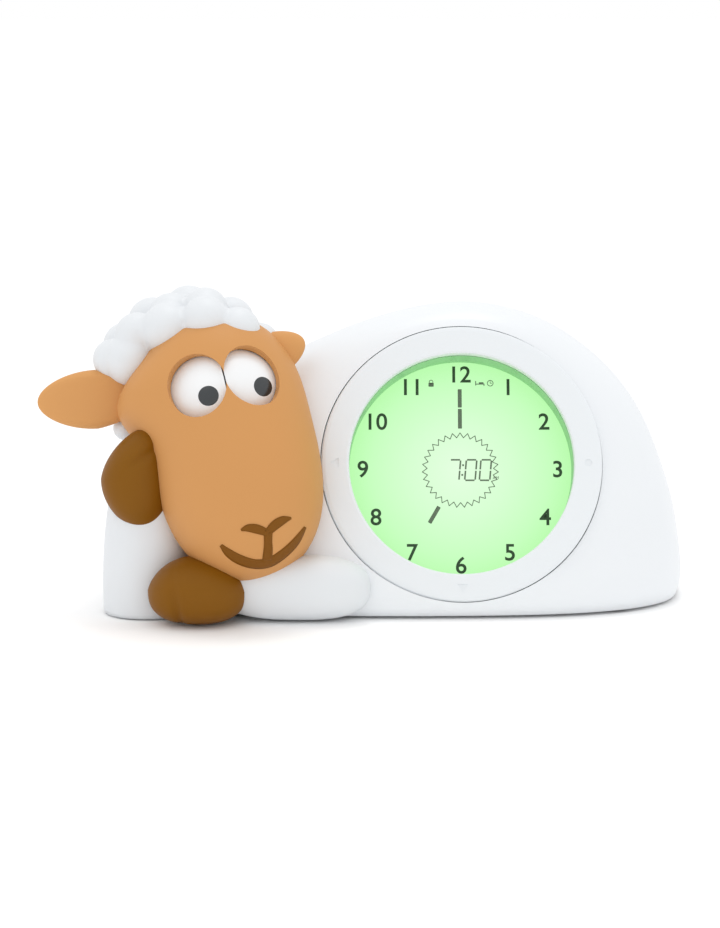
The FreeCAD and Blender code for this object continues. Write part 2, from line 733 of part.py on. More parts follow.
# Switch board behind the ring, its four switches, their plungers and the screws.
def make_key_board():
    back = -size("ring_pocket") - size("shelf_thickness") - 6
    thick = size("board_thickness")
    outer = size("ring_radius") - 1
    inner = size("bore_radius") + size("collar_wall") + 1.2
    board = disc(outer, back - thick, back).cut(disc(inner, back - thick - 1, back + 1))
    for x, y in standoff_spots():
        board = board.cut(disc(1.5, back - 3, back + 1, x, y))
    board = board.cut(plate_room_on_dial())
    feature("key_board", board, dial_frame())
    cases = []
    plungers = []
    for x, y in post_spots():
        case = Part.makeBox(6, 6, 3.4, V(x - 3, y - 3, back))
        case = case.makeFillet(0.4, [edge for edge in case.Edges if abs(edge.tangentAt(0).z) > 0.9])
        cases.append(case.cut(disc(1.75, back + 0.8, back + 4, x, y)))
        plungers.append(disc(1.6, back + 2.0, back + 4.3, x, y))
    feature("tact_switches", Part.makeCompound(cases), dial_frame())
    feature("switch_plungers", Part.makeCompound(plungers), dial_frame())
    screws = []
    for x, y in standoff_spots():
        head = disc(2.2, back - thick - 3.0, back - thick - 1.5, x, y)
        shank = disc(size("screw_radius") - 0.05, back - thick - 1.6, back + 5, x, y)
        screws.append(head.fuse(shank).removeSplitter())
    feature("display_screws", Part.makeCompound(screws), dial_frame())


# The round speaker, the supply socket and the mode switch at the rear.
def make_rear_parts():
    radius = size("speaker_radius")
    rim = disc(radius, -size("case_wall") - 3.4, -size("case_wall") - 0.4)
    basket = Part.makeCone(7.5, radius - 2, 6, V(0, 0, -size("case_wall") - 9.4), V(0, 0, 1))
    magnet = disc(7.5, -size("case_wall") - 13.4, -size("case_wall") - 9.4)
    feature("speaker", rim.fuse(basket).fuse(magnet).removeSplitter(), speaker_frame())
    depth = rear_reach(size("socket_x"), size("socket_z"))
    barrel = disc(5.4, -16, -6.1).fuse(disc(3.95, -6.2, -0.8))
    barrel = barrel.cut(disc(2.85, -12, 0)).fuse(disc(0.95, -12.5, -1.6))
    turn = FreeCAD.Rotation(V(1, 0, 0), -90)
    spot = FreeCAD.Placement(V(size("socket_x"), depth, size("socket_z")), turn)
    feature("dc_socket", barrel.removeSplitter(), case_frame().multiply(spot))
    x = size("switch_x")
    z = size("switch_z")
    wall = rear_reach(x, z) - 6
    body = Part.makeBox(16, 6, 8, V(x - 8, wall - 6, z - 4))
    body = body.cut(Part.makeBox(10.5, 4, 4, V(x - 5.25, wall - 3.4, z - 2)))
    feature("slide_switch", body, case_frame())
    knob = Part.makeBox(4, 9.8, 3.4, V(x - 2, wall - 3.1, z - 1.7))
    knob = knob.makeFillet(0.4, [edge for edge in knob.Edges if abs(edge.tangentAt(0).y) > 0.9])
    feature("slide_knob", knob, case_frame())


def make_main_board():
    length = size("mainboard_length")
    width = size("mainboard_width")
    x = size("mainboard_x")
    y = size("mainboard_y")
    z = size("mainboard_z")
    thick = size("board_thickness")
    board = Part.makeBox(length, width, thick, V(x - length / 2, y - width / 2, z))
    for spot_x, spot_y in mainboard_spots():
        board = board.cut(disc(1.2, z - 1, z + 3, spot_x, spot_y))
    feature("main_board", board, case_frame())
    top = z + thick
    chips = [Part.makeBox(14, 14, 1.6, V(x - 12, y - 7, top)), Part.makeBox(8, 5, 1.6, V(x + 12, y + 4, top)),
             Part.makeBox(10, 6, 6, V(x - 5, y - 17, top)), disc(4, top, top + 9, x + 20, y - 12)]
    feature("board_parts", Part.makeCompound(chips), case_frame())
    screws = []
    for spot_x, spot_y in mainboard_spots():
        head = disc(2.1, top, top + 1.4, spot_x, spot_y)
        screws.append(head.fuse(disc(0.95, top - 6, top + 0.1, spot_x, spot_y)).removeSplitter())
    feature("board_screws", Part.makeCompound(screws), case_frame())


# Spindle shape of one eye, turned about the shaft: x along the shaft, r away from it.
def eye_profile(end_inset, radius_inset):
    drop = size("eye_forward")
    outer = size("eye_swing") + radius_inset
    inner = size("eye_swing") - size("eye_shell")
    end = size("eye_end") + end_inset

    def reach(radius, x):
        return math.sqrt(radius * radius - x * x) - drop

    hub = size("shaft_radius")
    if radius_inset:
        lines = [V(0, 0, 0), V(end, 0, 0), V(end, 0, reach(outer, end))]
        arc = Part.Arc(lines[2], V(end / 2, 0, reach(outer, end / 2)), V(0, 0, reach(outer, 0)))
        edges = [Part.makeLine(lines[0], lines[1]), Part.makeLine(lines[1], lines[2]), arc.toShape(),
                 Part.makeLine(V(0, 0, reach(outer, 0)), lines[0])]
        return Part.Face(Part.Wire(edges))
    spots = [V(2.2, 0, hub), V(17, 0, hub), V(17, 0, 4), V(10, 0, 4), V(10, 0, reach(inner, 10)),
             V(end, 0, reach(inner, end)), V(end, 0, reach(outer, end)), V(0.3, 0, reach(outer, 0.3)),
             V(0.3, 0, reach(inner, 0.3)), V(8, 0, reach(inner, 8)), V(8, 0, 4), V(2.2, 0, 4)]
    arcs = {4: (inner, 15), 6: (outer, 10), 8: (inner, 4)}
    edges = []
    for number, spot in enumerate(spots):
        after = spots[(number + 1) % len(spots)]
        if number in arcs:
            radius, x = arcs[number]
            edges.append(Part.Arc(spot, V(x, 0, reach(radius, x)), after).toShape())
        else:
            edges.append(Part.makeLine(spot, after))
    return Part.Face(Part.Wire(edges))


def eye_centre():
    return V(0, -size("eye_forward"), size("eye_height"))


def swept_eye(face, start, sweep, side):
    solid = face.copy()
    solid.rotate(V(0, 0, 0), V(1, 0, 0), 90 - start)
    solid = solid.revolve(V(0, 0, 0), V(1, 0, 0), -sweep)
    if side < 0:
        solid = solid.mirror(V(0, 0, 0), V(1, 0, 0))
    solid.translate(eye_centre())
    return solid


def eye_cavity():
    face = eye_profile(0.5, 0.45)
    solids = []
    for side in (-1, 1):
        solid = face.revolve(V(0, 0, 0), V(1, 0, 0), 360)
        if side < 0:
            solid = solid.mirror(V(0, 0, 0), V(1, 0, 0))
        solid.translate(eye_centre())
        solids.append(solid)
    return solids[0].fuse(solids[1])


def make_eyes():
    face = eye_profile(0, 0)
    pupils = []
    for side, name in ((-1, "left"), (1, "right")):
        ball = swept_eye(face, -42, 82, side)
        lid = swept_eye(face, 40.5, 82, side)
        aim = math.radians(13)
        spot = V(side * 10.5 + 3.4, 0, 0)
        rod = Part.makeCylinder(size("pupil_radius"), 40, spot, V(0, -math.cos(aim), -math.sin(aim)))
        rod.translate(eye_centre())
        core = eye_core(size("eye_swing") - 0.9, side)
        inlay = ball.common(rod).cut(core)
        pupils.append(largest(inlay))
        ball = ball.cut(rod.cut(core))
        feature("eyeball_" + name, largest(ball), head_frame())
        feature("eyelid_" + name, largest(lid), head_frame())
    feature("pupils", Part.makeCompound(pupils), head_frame())
    half = 23.2
    rod = Part.makeCylinder(size("shaft_radius"), 2 * half, V(-half, 0, 0), V(1, 0, 0))
    rod.translate(eye_centre())
    feature("eye_shaft", rod, head_frame())


def eye_core(radius, side):
    drop = size("eye_forward")
    end = size("eye_end") + 1

    def reach(x):
        return math.sqrt(radius * radius - x * x) - drop

    arc = Part.Arc(V(end, 0, reach(end)), V(end / 2, 0, reach(end / 2)), V(0, 0, reach(0))).toShape()
    edges = [Part.makeLine(V(0, 0, 0), V(end, 0, 0)), Part.makeLine(V(end, 0, 0), V(end, 0, reach(end))), arc,
             Part.makeLine(V(0, 0, reach(0)), V(0, 0, 0))]
    core = Part.Face(Part.Wire(edges)).revolve(V(0, 0, 0), V(1, 0, 0), 360)
    if side < 0:
        core = core.mirror(V(0, 0, 0), V(1, 0, 0))
    core.translate(eye_centre())
    return core


# Spur gear across the shaft with straight-sided teeth that leave some play.
def gear_wheel(teeth, bore, turn):
    module = size("gear_module")
    pitch = module * teeth / 2
    root = pitch - 1.0 * module
    tip = pitch + 0.7 * module
    points = []
    for number in range(teeth):
        for share, radius in ((-0.30, root), (-0.115, tip), (0.115, tip), (0.30, root)):
            angle = 2 * math.pi * (number + share) / teeth + turn
            points.append(V(0, radius * math.cos(angle), radius * math.sin(angle)))
    points.append(points[0])
    width = size("gear_width")
    wheel = Part.Face(Part.makePolygon(points)).extrude(V(width, 0, 0))
    if bore:
        wheel = wheel.cut(Part.makeCylinder(bore, width + 2, V(-1, 0, 0), V(1, 0, 0)))
    wheel.translate(V(-width / 2, 0, 0))
    return wheel


def make_eye_drive():
    teeth = int(size("gear_teeth"))
    small = int(size("pinion_teeth"))
    spacing = size("gear_module") * (teeth + small) / 2 + 0.15
    centre = eye_centre()
    wheel = gear_wheel(teeth, size("shaft_radius"), 0)
    wheel.translate(centre)
    feature("eye_gear", wheel, head_frame())
    pinion = gear_wheel(small, 0, math.pi / small + math.pi)
    stub = Part.makeCylinder(0.8, 5, V(size("gear_width") / 2 - 0.1, 0, 0), V(1, 0, 0))
    pinion = pinion.fuse(stub)
    pinion.translate(centre + V(0, spacing, 0))
    feature("motor_pinion", pinion.removeSplitter(), head_frame())
    start = size("gear_width") / 2 + 1.4
    motor = Part.makeCylinder(size("motor_radius"), size("motor_length"), V(start, 0, 0), V(1, 0, 0))
    motor = motor.makeFillet(0.8, [edge for edge in motor.Edges if edge.BoundBox.XMin > start + 5 and edge.Closed
                                   and edge.BoundBox.XLength < 0.1])
    motor = motor.cut(Part.makeCylinder(0.88, 5, V(start - 0.1, 0, 0), V(1, 0, 0)))
    motor.translate(centre + V(0, spacing, 0))
    feature("eye_motor", motor, head_frame())
    back = spacing - size("eye_forward") + size("motor_radius") + 0.1
    up = size("eye_height")
    web = Part.makeBox(45, 1.5, 16, V(-22.5, back, up - 8))
    cheeks = [Part.makeBox(1.5, back + 12, 10, V(x, -11.9, up - 5)) for x in (-22.1, 20.6)]
    bracket = web.fuse(cheeks[0]).fuse(cheeks[1])
    hole = Part.makeCylinder(size("shaft_radius") + 0.06, 60, V(-30, 0, 0), V(1, 0, 0))
    hole.translate(centre)
    bracket = bracket.cut(hole)
    feature("eye_bracket", bracket.removeSplitter(), head_frame())


# Strokes of the nose and mouth in the plane across the face, then wrapped onto the egg.
def ribbon(points, width):
    curve = Part.BSplineCurve()
    curve.interpolate([V(x, z, 0) for x, z in points])
    line = Part.makePolygon(curve.discretize(9))
    border = line.makeOffset2D(width / 2, 0, False, False, False)
    body = Part.Face(border).extrude(V(0, 0, 60))
    body.rotate(V(0, 0, 0), V(1, 0, 0), 90)
    return body


def mouth_strokes():
    smile = ribbon([(-15, -37.5), (-9, -41.5), (0, -43), (9, -41.5), (15, -37.5)], 2.2)
    stem = ribbon([(0, -43), (0, -40), (0, -36.5)], 2.0)
    nose = ribbon([(-9, -30.5), (-5, -34.8), (0, -36.3), (5, -34.8), (9, -30.5)], 2.2)
    return smile.fuse(stem).fuse(nose)


def make_face(skull):
    strokes = mouth_strokes()
    cavity = egg(size("head_wall"))
    inlay = skull.cut(egg(0.7)).common(strokes)
    feature("nose_and_mouth", inlay, head_frame())
    shell = skull.cut(cavity).cut(strokes.cut(egg(0.7)))
    shell = shell.cut(Part.makeBox(200, 100, 200, V(-100, 17, -100)))
    aim = math.radians(size("eye_aim"))
    for side in (-1, 1):
        way = V(side * math.sin(aim), -math.cos(aim), 0)
        window = Part.makeCylinder(size("eye_opening"), 60, V(0, 0, size("eye_height")), way)
        shell = shell.cut(window)
    shell = shell.cut(eye_cavity())
    feature("face_shell", largest(shell), head_frame())


# Woolly cap: a padded cap over the back of the head with round curls on it.
# Places are in the head's frame: the angle round the axis from the face, and the height.
def curl_spots():
    spots = []
    for step in range(-4, 5):
        angle = math.radians(27 * step)
        reach = 24 + 7 * math.sin(angle) ** 2
        spots.append((angle, reach, 26 + 17 * math.cos(angle), 7.6 + 0.5 * (step % 2)))
    for step in range(-4, 5):
        angle = math.radians(38 * step + 10)
        spots.append((angle, 17, 43 + 5 * math.cos(angle), 8.6))
    for step in range(-2, 3):
        spots.append((math.pi + math.radians(36 * step), 28, 27, 8.6))
    for step in range(-1, 2):
        spots.append((math.pi + math.radians(40 * step), 31, 12, 8.2))
    spots.append((0.4, 2.5, 51.3, 9.2))
    curls = []
    for angle, reach, height, radius in spots:
        place = V(reach * math.sin(angle), -reach * math.cos(angle), height)
        curls.append(Part.makeSphere(radius, place))
    return curls


# Room for the hoof at the cheek, below the ear and beside the face.
def cheek_room():
    width = size("cheek_paw_width")
    room_x = size("cheek_x") - width
    top = size("cheek_z") + size("cheek_paw_length") / 2 - 0.8
    return Part.makeBox(1.34 * width, 60, top - 20, V(room_x, size("cheek_y") - 48, 20))


def make_wool(outer):
    thick = size("wool_thickness")
    pad = Part.makeSphere(size("head_radius") + thick - 2.8, V(0, thick - 1, size("eye_height") + 1.5))
    wool = on_head(pad).multiFuse([on_head(curl) for curl in curl_spots()])
    wool = wool.cut(on_head(egg(-0.1))).cut(outer)
    wool = wool.cut(cheek_room())
    return feature("wool_cap", largest(wool), case_frame())


# Outline of an ear from its tip round to the root, as shares of half its length and width.
EAR_OUTLINE = [
    (-1.0, 0.05), (-0.78, 0.70), (-0.28, 1.0), (0.35, 0.82), (0.86, 0.50),
    (1.04, 0.0), (0.86, -0.50), (0.35, -0.86), (-0.28, -1.0), (-0.78, -0.78),
]


# An ear: a leaf with a domed back and a dished front.
def ear(label, place, length, width, others):
    curve = Part.BSplineCurve()
    curve.interpolate([V(x * length / 2, -3.2, z * width / 2) for x, z in EAR_OUTLINE], PeriodicFlag=True)
    leaf = Part.Face(Part.Wire([curve.toShape()])).extrude(V(0, 9, 0))
    leaf = leaf.common(Part.makeSphere(41, V(0, -36, 0)))
    leaf = leaf.cut(Part.makeSphere(30, V(0, -31.2, 0)))
    shape = leaf.copy()
    shape.Placement = place
    shape = shape.cut(on_head(egg(-0.1)))
    for other in others:
        shape = shape.cut(other)
    return feature(label, largest(shape), case_frame())


def scaling(x, y, z):
    matrix = FreeCAD.Matrix()
    matrix.scale(x, y, z)
    return matrix


# A hoof: a rounded lump with a cleft cut into its end.
def hoof_shape(length, height, depth):
    ball = Part.makeSphere(1)
    lump = ball.transformGeometry(scaling(length / 2, depth / 2, height / 2))
    groove = Part.makeTorus(length * 0.42, 1.3, V(-length * 0.62, -depth * 0.42, 0), V(0, 1, 0))
    return lump.cut(groove)


def make_limbs(outer):
    head_room = on_head(egg(-0.15))
    arm_y = -61.5
    radius = size("arm_radius")
    floor = size("case_bottom") - 0.6
    end = size("arm_length") - 45
    spots = [V(-50, 0, radius * 0.84), V(-38, 0, radius * 0.93), V(-20, 0, radius), V(-8, 0, radius * 0.97),
             V(end - 4, 0, radius * 0.7), V(end, 0, 1)]
    curve = Part.BSplineCurve()
    curve.interpolate(spots)
    edges = [curve.toShape(), Part.makeLine(spots[-1], V(end, 0, 0)),
             Part.makeLine(V(end, 0, 0), V(-50, 0, 0)), Part.makeLine(V(-50, 0, 0), spots[0])]
    arm = Part.Face(Part.Wire(edges)).revolve(V(0, 0, 0), V(1, 0, 0), 360)
    arm.translate(V(0, arm_y, floor + radius))
    arm = arm.cut(outer).cut(head_room)
    paw = hoof_shape(size("paw_length"), 24, 26)
    paw.rotate(V(0, 0, 0), V(0, 1, 0), 6)
    paw.translate(V(-61, -66, floor + 13.1))
    leg_spots = [V(0, 0, floor), V(13, 0, floor), V(13.2, 0, 14), V(12.4, 0, 28), V(11, 0, size("leg_height")),
                 V(0, 0, size("leg_height"))]
    bend = Part.BSplineCurve()
    bend.interpolate(leg_spots[1:5])
    edges = [Part.makeLine(leg_spots[0], leg_spots[1]), bend.toShape(),
             Part.makeLine(leg_spots[4], leg_spots[5]), Part.makeLine(leg_spots[5], leg_spots[0])]
    leg = Part.Face(Part.Wire(edges)).revolve(V(0, 0, 0), V(0, 0, 1), 360)
    leg.translate(V(-84.5, -48.5, 0))
    cheek = hoof_shape(size("cheek_paw_width"), size("cheek_paw_length"), 26)
    cheek.rotate(V(0, 0, 0), V(0, 1, 0), -6)
    cheek.translate(V(size("cheek_x"), size("cheek_y"), size("cheek_z")))
    cheek = cheek.cut(outer).cut(head_room)
    leg = leg.cut(outer).cut(head_room).cut(cheek)
    paw = paw.cut(outer).cut(head_room).cut(leg)
    arm = arm.cut(paw)
    feature("foreleg", largest(arm), case_frame())
    feature("floor_hoof", largest(paw), case_frame())
    feature("raised_foreleg", largest(leg), case_frame())
    feature("cheek_hoof", largest(cheek), case_frame())
    return [leg, cheek]


def make_all():
    outer = case_solid(0)
    inner = case_solid(size("case_wall"))
    skull = egg(0)
    opening = egg(-0.15)
    make_front_shell(outer, inner, opening)
    make_rear_shell(outer, inner, opening)
    make_base_plate()
    make_rubber_feet()
    make_battery_door()
    make_door_screw()
    make_batteries()
    make_battery_contacts()
    make_case_screws()
    make_control_ring()
    make_display()
    make_key_board()
    make_rear_parts()
    make_main_board()
    make_eyes()
    make_eye_drive()
    make_face(skull)
    make_wool(outer)
    wool = parts["wool_cap"].Shape.copy()
    wool.Placement = FreeCAD.Placement()
    others = make_limbs(outer) + [wool, outer]
    left = FreeCAD.Placement(V(-101.5, -36, 80.5), FreeCAD.Rotation(V(0, 1, 0), -4))
    right = FreeCAD.Placement(V(-27.5, -32, 94.5), FreeCAD.Rotation(-42, 0, 0))
    ear("ear_left", left, size("ear_length"), size("ear_width"), others)
    ear("ear_right", right, size("ear_length") - 15, size("ear_width") - 4, others)


make_all()
doc.recompute()
os.makedirs("parts", exist_ok=True)
for obj in doc.Objects:
    if "Invalid" in obj.State or "Error" in obj.State:
        raise RuntimeError("not built: " + obj.Label)
for label, obj in parts.items():
    shape = obj.Shape
    if shape.isNull() or not shape.isValid():
        raise RuntimeError("bad shape: " + label)
    shape.exportStep("parts/%s.step" % label)
    box = shape.BoundBox
    print("%-22s %2d solids  x %6.1f %6.1f  y %6.1f %6.1f  z %6.1f %6.1f" % (
        label, len(shape.Solids), box.XMin, box.XMax, box.YMin, box.YMax, box.ZMin, box.ZMax))
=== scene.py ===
# %% [markdown]
# # A child's alarm clock with a sheep leaning on it
#
# The solid parts come in as a fixed frame. This lesson gives them their looks: plastics, the lit
# green dial with its numerals, the woolly cap, and a white studio. Each step first says what it
# will make and why.

# %% Import the solid parts
import json
import math

import bmesh
import bpy
from mathutils import Matrix, Vector


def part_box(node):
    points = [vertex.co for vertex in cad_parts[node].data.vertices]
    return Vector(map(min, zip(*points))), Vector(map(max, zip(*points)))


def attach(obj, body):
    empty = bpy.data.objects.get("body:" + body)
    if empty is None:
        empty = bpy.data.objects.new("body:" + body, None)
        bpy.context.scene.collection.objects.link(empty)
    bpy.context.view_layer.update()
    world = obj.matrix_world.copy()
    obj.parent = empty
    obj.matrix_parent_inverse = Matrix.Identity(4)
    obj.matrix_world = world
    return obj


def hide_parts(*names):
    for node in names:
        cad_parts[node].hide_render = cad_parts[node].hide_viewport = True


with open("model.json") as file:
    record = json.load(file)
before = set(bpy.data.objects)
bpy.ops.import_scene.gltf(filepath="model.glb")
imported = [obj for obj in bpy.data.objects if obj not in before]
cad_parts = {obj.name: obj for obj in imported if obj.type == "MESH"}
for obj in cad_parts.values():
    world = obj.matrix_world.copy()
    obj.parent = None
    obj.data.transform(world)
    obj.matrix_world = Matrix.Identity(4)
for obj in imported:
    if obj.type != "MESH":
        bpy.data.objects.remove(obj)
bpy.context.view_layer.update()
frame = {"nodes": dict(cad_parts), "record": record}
nodes = frame["nodes"]
print("parts:", len(nodes))

# %% [markdown]
# ## The dial's own frame
#
# The dial leans back, so everything printed on it is easiest to place in a flat frame whose third
# axis points out of the dial. The glass disc gives the centre: its middle is the middle of the
# dial, and the lean is the one the casing was built with.

# %% Work out the dial's frame
MM = 0.001
DIAL_LEAN = math.radians(22)
glass_low, glass_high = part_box("dial_window")
glass_middle = (Vector(glass_low) + Vector(glass_high)) / 2
dial_turn = Matrix.Rotation(math.pi / 2 - DIAL_LEAN, 4, "X")
FACE_LIFT = 0.9 * MM
dial_frame = Matrix.Translation(glass_middle) @ dial_turn @ Matrix.Translation((0, 0, FACE_LIFT))
dial_out = (dial_turn @ Vector((0, 0, 1))).normalized()
APERTURE = 42.5 * MM
print("dial centre:", [round(value, 4) for value in glass_middle])

# %% [markdown]
# ## Helpers
#
# Every shape is added at the origin with ordinary modelling steps, then its mesh is carried to its
# place so that the finished object itself stays at the origin, unturned and unscaled.


# %% Small helpers
def deselect():
    bpy.ops.object.select_all(action="DESELECT")


def active():
    return bpy.context.object


def settle(obj, place):
    deselect()
    obj.select_set(True)
    bpy.context.view_layer.objects.active = obj
    bpy.ops.object.transform_apply(location=True, rotation=True, scale=True)
    obj.data.transform(place)
    obj.data.update()
    return obj


def join(pieces, name):
    deselect()
    for piece in pieces:
        piece.select_set(True)
    bpy.context.view_layer.objects.active = pieces[0]
    if len(pieces) > 1:
        bpy.ops.object.join()
    obj = active()
    obj.name = name
    return obj


def give(obj, material):
    obj.data.materials.clear()
    obj.data.materials.append(material)


# %% [markdown]
# ## Materials
#
# Plastic parts share one recipe with a faint unevenness in roughness, so that each surface reads as
# moulded and not as plain paint. Colours are given as they look on a screen and turned linear here.


# %% Make the plastics
COAT_ROUGHNESS = 0.25
UNEVEN_SCALE = 90
UNEVEN_SPREAD = 0.04
GRAIN_SCALE = 900
GRAIN_HEIGHT = 0.0002


def linear(colour):
    result = []
    for value in colour:
        part = value / 255
        result.append(part / 12.92 if part <= 0.04045 else ((part + 0.055) / 1.055) ** 2.4)
    return (*result, 1.0)


def plastic(name, colour, roughness, coat=0.0, grain=0.0, shine=0.5):
    material = bpy.data.materials.new(name)
    material.use_nodes = True
    tree = material.node_tree
    shader = tree.nodes["Principled BSDF"]
    shader.inputs["Base Color"].default_value = linear(colour)
    shader.inputs["Coat Weight"].default_value = coat
    shader.inputs["Coat Roughness"].default_value = COAT_ROUGHNESS
    place = tree.nodes.new("ShaderNodeTexCoord")
    noise = tree.nodes.new("ShaderNodeTexNoise")
    noise.inputs["Scale"].default_value = UNEVEN_SCALE
    spread = tree.nodes.new("ShaderNodeMapRange")
    spread.inputs["To Min"].default_value = roughness - UNEVEN_SPREAD
    spread.inputs["To Max"].default_value = roughness + UNEVEN_SPREAD
    tree.links.new(place.outputs["Object"], noise.inputs["Vector"])
    tree.links.new(noise.outputs["Fac"], spread.inputs["Value"])
    tree.links.new(spread.outputs["Result"], shader.inputs["Roughness"])
    if grain:
        fine = tree.nodes.new("ShaderNodeTexNoise")
        fine.inputs["Scale"].default_value = GRAIN_SCALE
        bump = tree.nodes.new("ShaderNodeBump")
        bump.inputs["Strength"].default_value = grain
        bump.inputs["Distance"].default_value = GRAIN_HEIGHT
        tree.links.new(place.outputs["Object"], fine.inputs["Vector"])
        tree.links.new(fine.outputs["Fac"], bump.inputs["Height"])
        tree.links.new(bump.outputs["Normal"], shader.inputs["Normal"])
    shader.inputs["Specular IOR Level"].default_value = shine
    return material


LOOKS = {
    "casing": plastic("casing_plastic", (231, 234, 237), 0.42),
    "ring": plastic("ring_plastic", (228, 232, 235), 0.46),
    "wool": plastic("wool_plastic", (223, 226, 229), 0.5),
    "tan": plastic("face_plastic", (205, 148, 90), 0.5, grain=0.05, shine=0.15),
    "ear": plastic("ear_plastic", (212, 155, 96), 0.52, grain=0.05, shine=0.15),
    "hoof": plastic("hoof_plastic", (128, 82, 10), 0.48, grain=0.05, shine=0.15),
    "eye_white": plastic("eye_plastic", (236, 237, 238), 0.3, coat=0.2),
    "pupil": plastic("pupil_plastic", (34, 40, 44), 0.2, coat=0.5),
    "rubber": plastic("foot_rubber", (58, 60, 62), 0.8),
    # The collar's colour is darker and greener than its pale plastic: it holds painted recess shade
    # and painted green glow from the dial panel.
    "collar": plastic("collar_painted_glow_and_shade", (150, 204, 152), 0.4),
    "dark": plastic("dark_plastic", (34, 35, 37), 0.5),
    "board": plastic("board_green", (32, 98, 62), 0.45),
    "light": plastic("diffuser_plastic", (228, 240, 224), 0.4),
    "cell": plastic("cell_wrap", (58, 92, 142), 0.35, coat=0.3),
}


def steel(name, colour, roughness):
    material = plastic(name, colour, roughness)
    material.node_tree.nodes["Principled BSDF"].inputs["Metallic"].default_value = 1.0
    return material


LOOKS["steel"] = steel("bright_steel", (176, 178, 182), 0.3)
print("materials:", len(LOOKS))

# %% [markdown]
# ## The lit dial
#
# A panel behind the glass glows green, paler in the middle. The glow is a ramp over the distance
# from the dial's centre, so it follows the dial wherever the clock is seen from.


# %% Make the glowing panel
GLOW_STRENGTH = 0.97
UNLIT_BASE = (0.02, 0.03, 0.02, 1)
# Share of the way from the centre to the edge, and the colour on the screen.
GLOW_STOPS = [
    (0.0, (226, 252, 222)), (0.45, (211, 253, 206)), (0.8, (196, 253, 188)), (1.0, (184, 250, 172)),
]


def glow_material():
    material = bpy.data.materials.new("dial_glow")
    material.use_nodes = True
    tree = material.node_tree
    shader = tree.nodes["Principled BSDF"]
    shader.inputs["Base Color"].default_value = UNLIT_BASE
    shader.inputs["Roughness"].default_value = 0.6
    place = tree.nodes.new("ShaderNodeTexCoord")
    away = tree.nodes.new("ShaderNodeVectorMath")
    away.operation = "DISTANCE"
    away.inputs[1].default_value = glass_middle
    share = tree.nodes.new("ShaderNodeMath")
    share.operation = "DIVIDE"
    share.inputs[1].default_value = APERTURE
    ramp = tree.nodes.new("ShaderNodeValToRGB")
    stops = ramp.color_ramp.elements
    stops[0].position = GLOW_STOPS[0][0]
    stops[0].color = linear(GLOW_STOPS[0][1])
    stops[1].position = GLOW_STOPS[-1][0]
    stops[1].color = linear(GLOW_STOPS[-1][1])
    for spot, colour in GLOW_STOPS[1:-1]:
        element = stops.new(spot)
        element.color = linear(colour)
    tree.links.new(place.outputs["Object"], away.inputs[0])
    tree.links.new(away.outputs["Value"], share.inputs[0])
    tree.links.new(share.outputs["Value"], ramp.inputs["Fac"])
    tree.links.new(ramp.outputs["Color"], shader.inputs["Emission Color"])
    shader.inputs["Emission Strength"].default_value = GLOW_STRENGTH
    return material


LOOKS["glow"] = glow_material()

# %% [markdown]
# ## Dress the frame's parts
#
# The record says which finish each part has. Parts keep their shapes; only the surface changes.

# %% Put a material on every part
SLOT_LOOKS = {
    "casing": "casing", "ring": "ring", "wool": "wool", "tan": "tan", "ear": "ear", "hoof": "hoof",
    "eye_white": "eye_white", "pupil": "pupil", "rubber": "rubber", "collar": "collar",
    "window": "glow", "panel": "light", "guide": "light", "board": "board", "led": "light",
    "chip": "dark", "knob": "ring", "motor": "steel", "screw": "steel", "cell": "cell",
}
for part in frame["record"]["subparts"]:
    give(nodes[part["node"]], LOOKS[SLOT_LOOKS[part["material_slot"]]])

# %% [markdown]
# ## The woolly cap
#
# The curls are plump round lumps that melt into each other. Balls of different sizes are placed in
# their places, joined with a pad that lies on the skull, and turned into one skin with a voxel
# remesh, which is then smoothed so that the creases between the curls stay soft.

# %% Find the head's frame
HEAD_ROLL = math.radians(15)
HEAD_LEAN = math.radians(26)
HEAD_YAW = math.radians(14)
HEAD_MIDDLE = Vector((-49.5, -33.3, 62.5)) * MM
head_turn = (Matrix.Rotation(-HEAD_ROLL, 4, "Y") @ Matrix.Rotation(-HEAD_LEAN, 4, "X")
             @ Matrix.Rotation(HEAD_YAW, 4, "Z"))
head_frame = Matrix.Translation(HEAD_MIDDLE) @ head_turn


# %% Helpers for round shapes
def ball(place, size, turn=(0, 0, 0), segments=48, rings=24):
    deselect()
    bpy.ops.mesh.primitive_uv_sphere_add(segments=segments, ring_count=rings, radius=1)
    obj = active()
    obj.scale = size
    obj.rotation_euler = turn
    obj.location = place
    bpy.ops.object.transform_apply(location=True, rotation=True, scale=True)
    return obj


def finish_with(obj, kind, **settings):
    deselect()
    obj.select_set(True)
    bpy.context.view_layer.objects.active = obj
    step = obj.modifiers.new(kind.lower(), kind)
    for name, value in settings.items():
        setattr(step, name, value)
    bpy.ops.object.modifier_apply(modifier=step.name)
    return obj


def melt(obj, voxel, passes):
    finish_with(obj, "REMESH", mode="VOXEL", voxel_size=voxel, use_smooth_shade=True)
    finish_with(obj, "SMOOTH", factor=0.5, iterations=passes)
    return obj


def smooth(obj):
    deselect()
    obj.select_set(True)
    bpy.context.view_layer.objects.active = obj
    bpy.ops.object.shade_smooth()
    return obj


def stand_for(obj, name, look, *replaced):
    obj.name = name
    give(obj, LOOKS[look])
    smooth(obj)
    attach(obj, "casing")
    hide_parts(*replaced)
    print(name, len(obj.data.polygons), "faces")


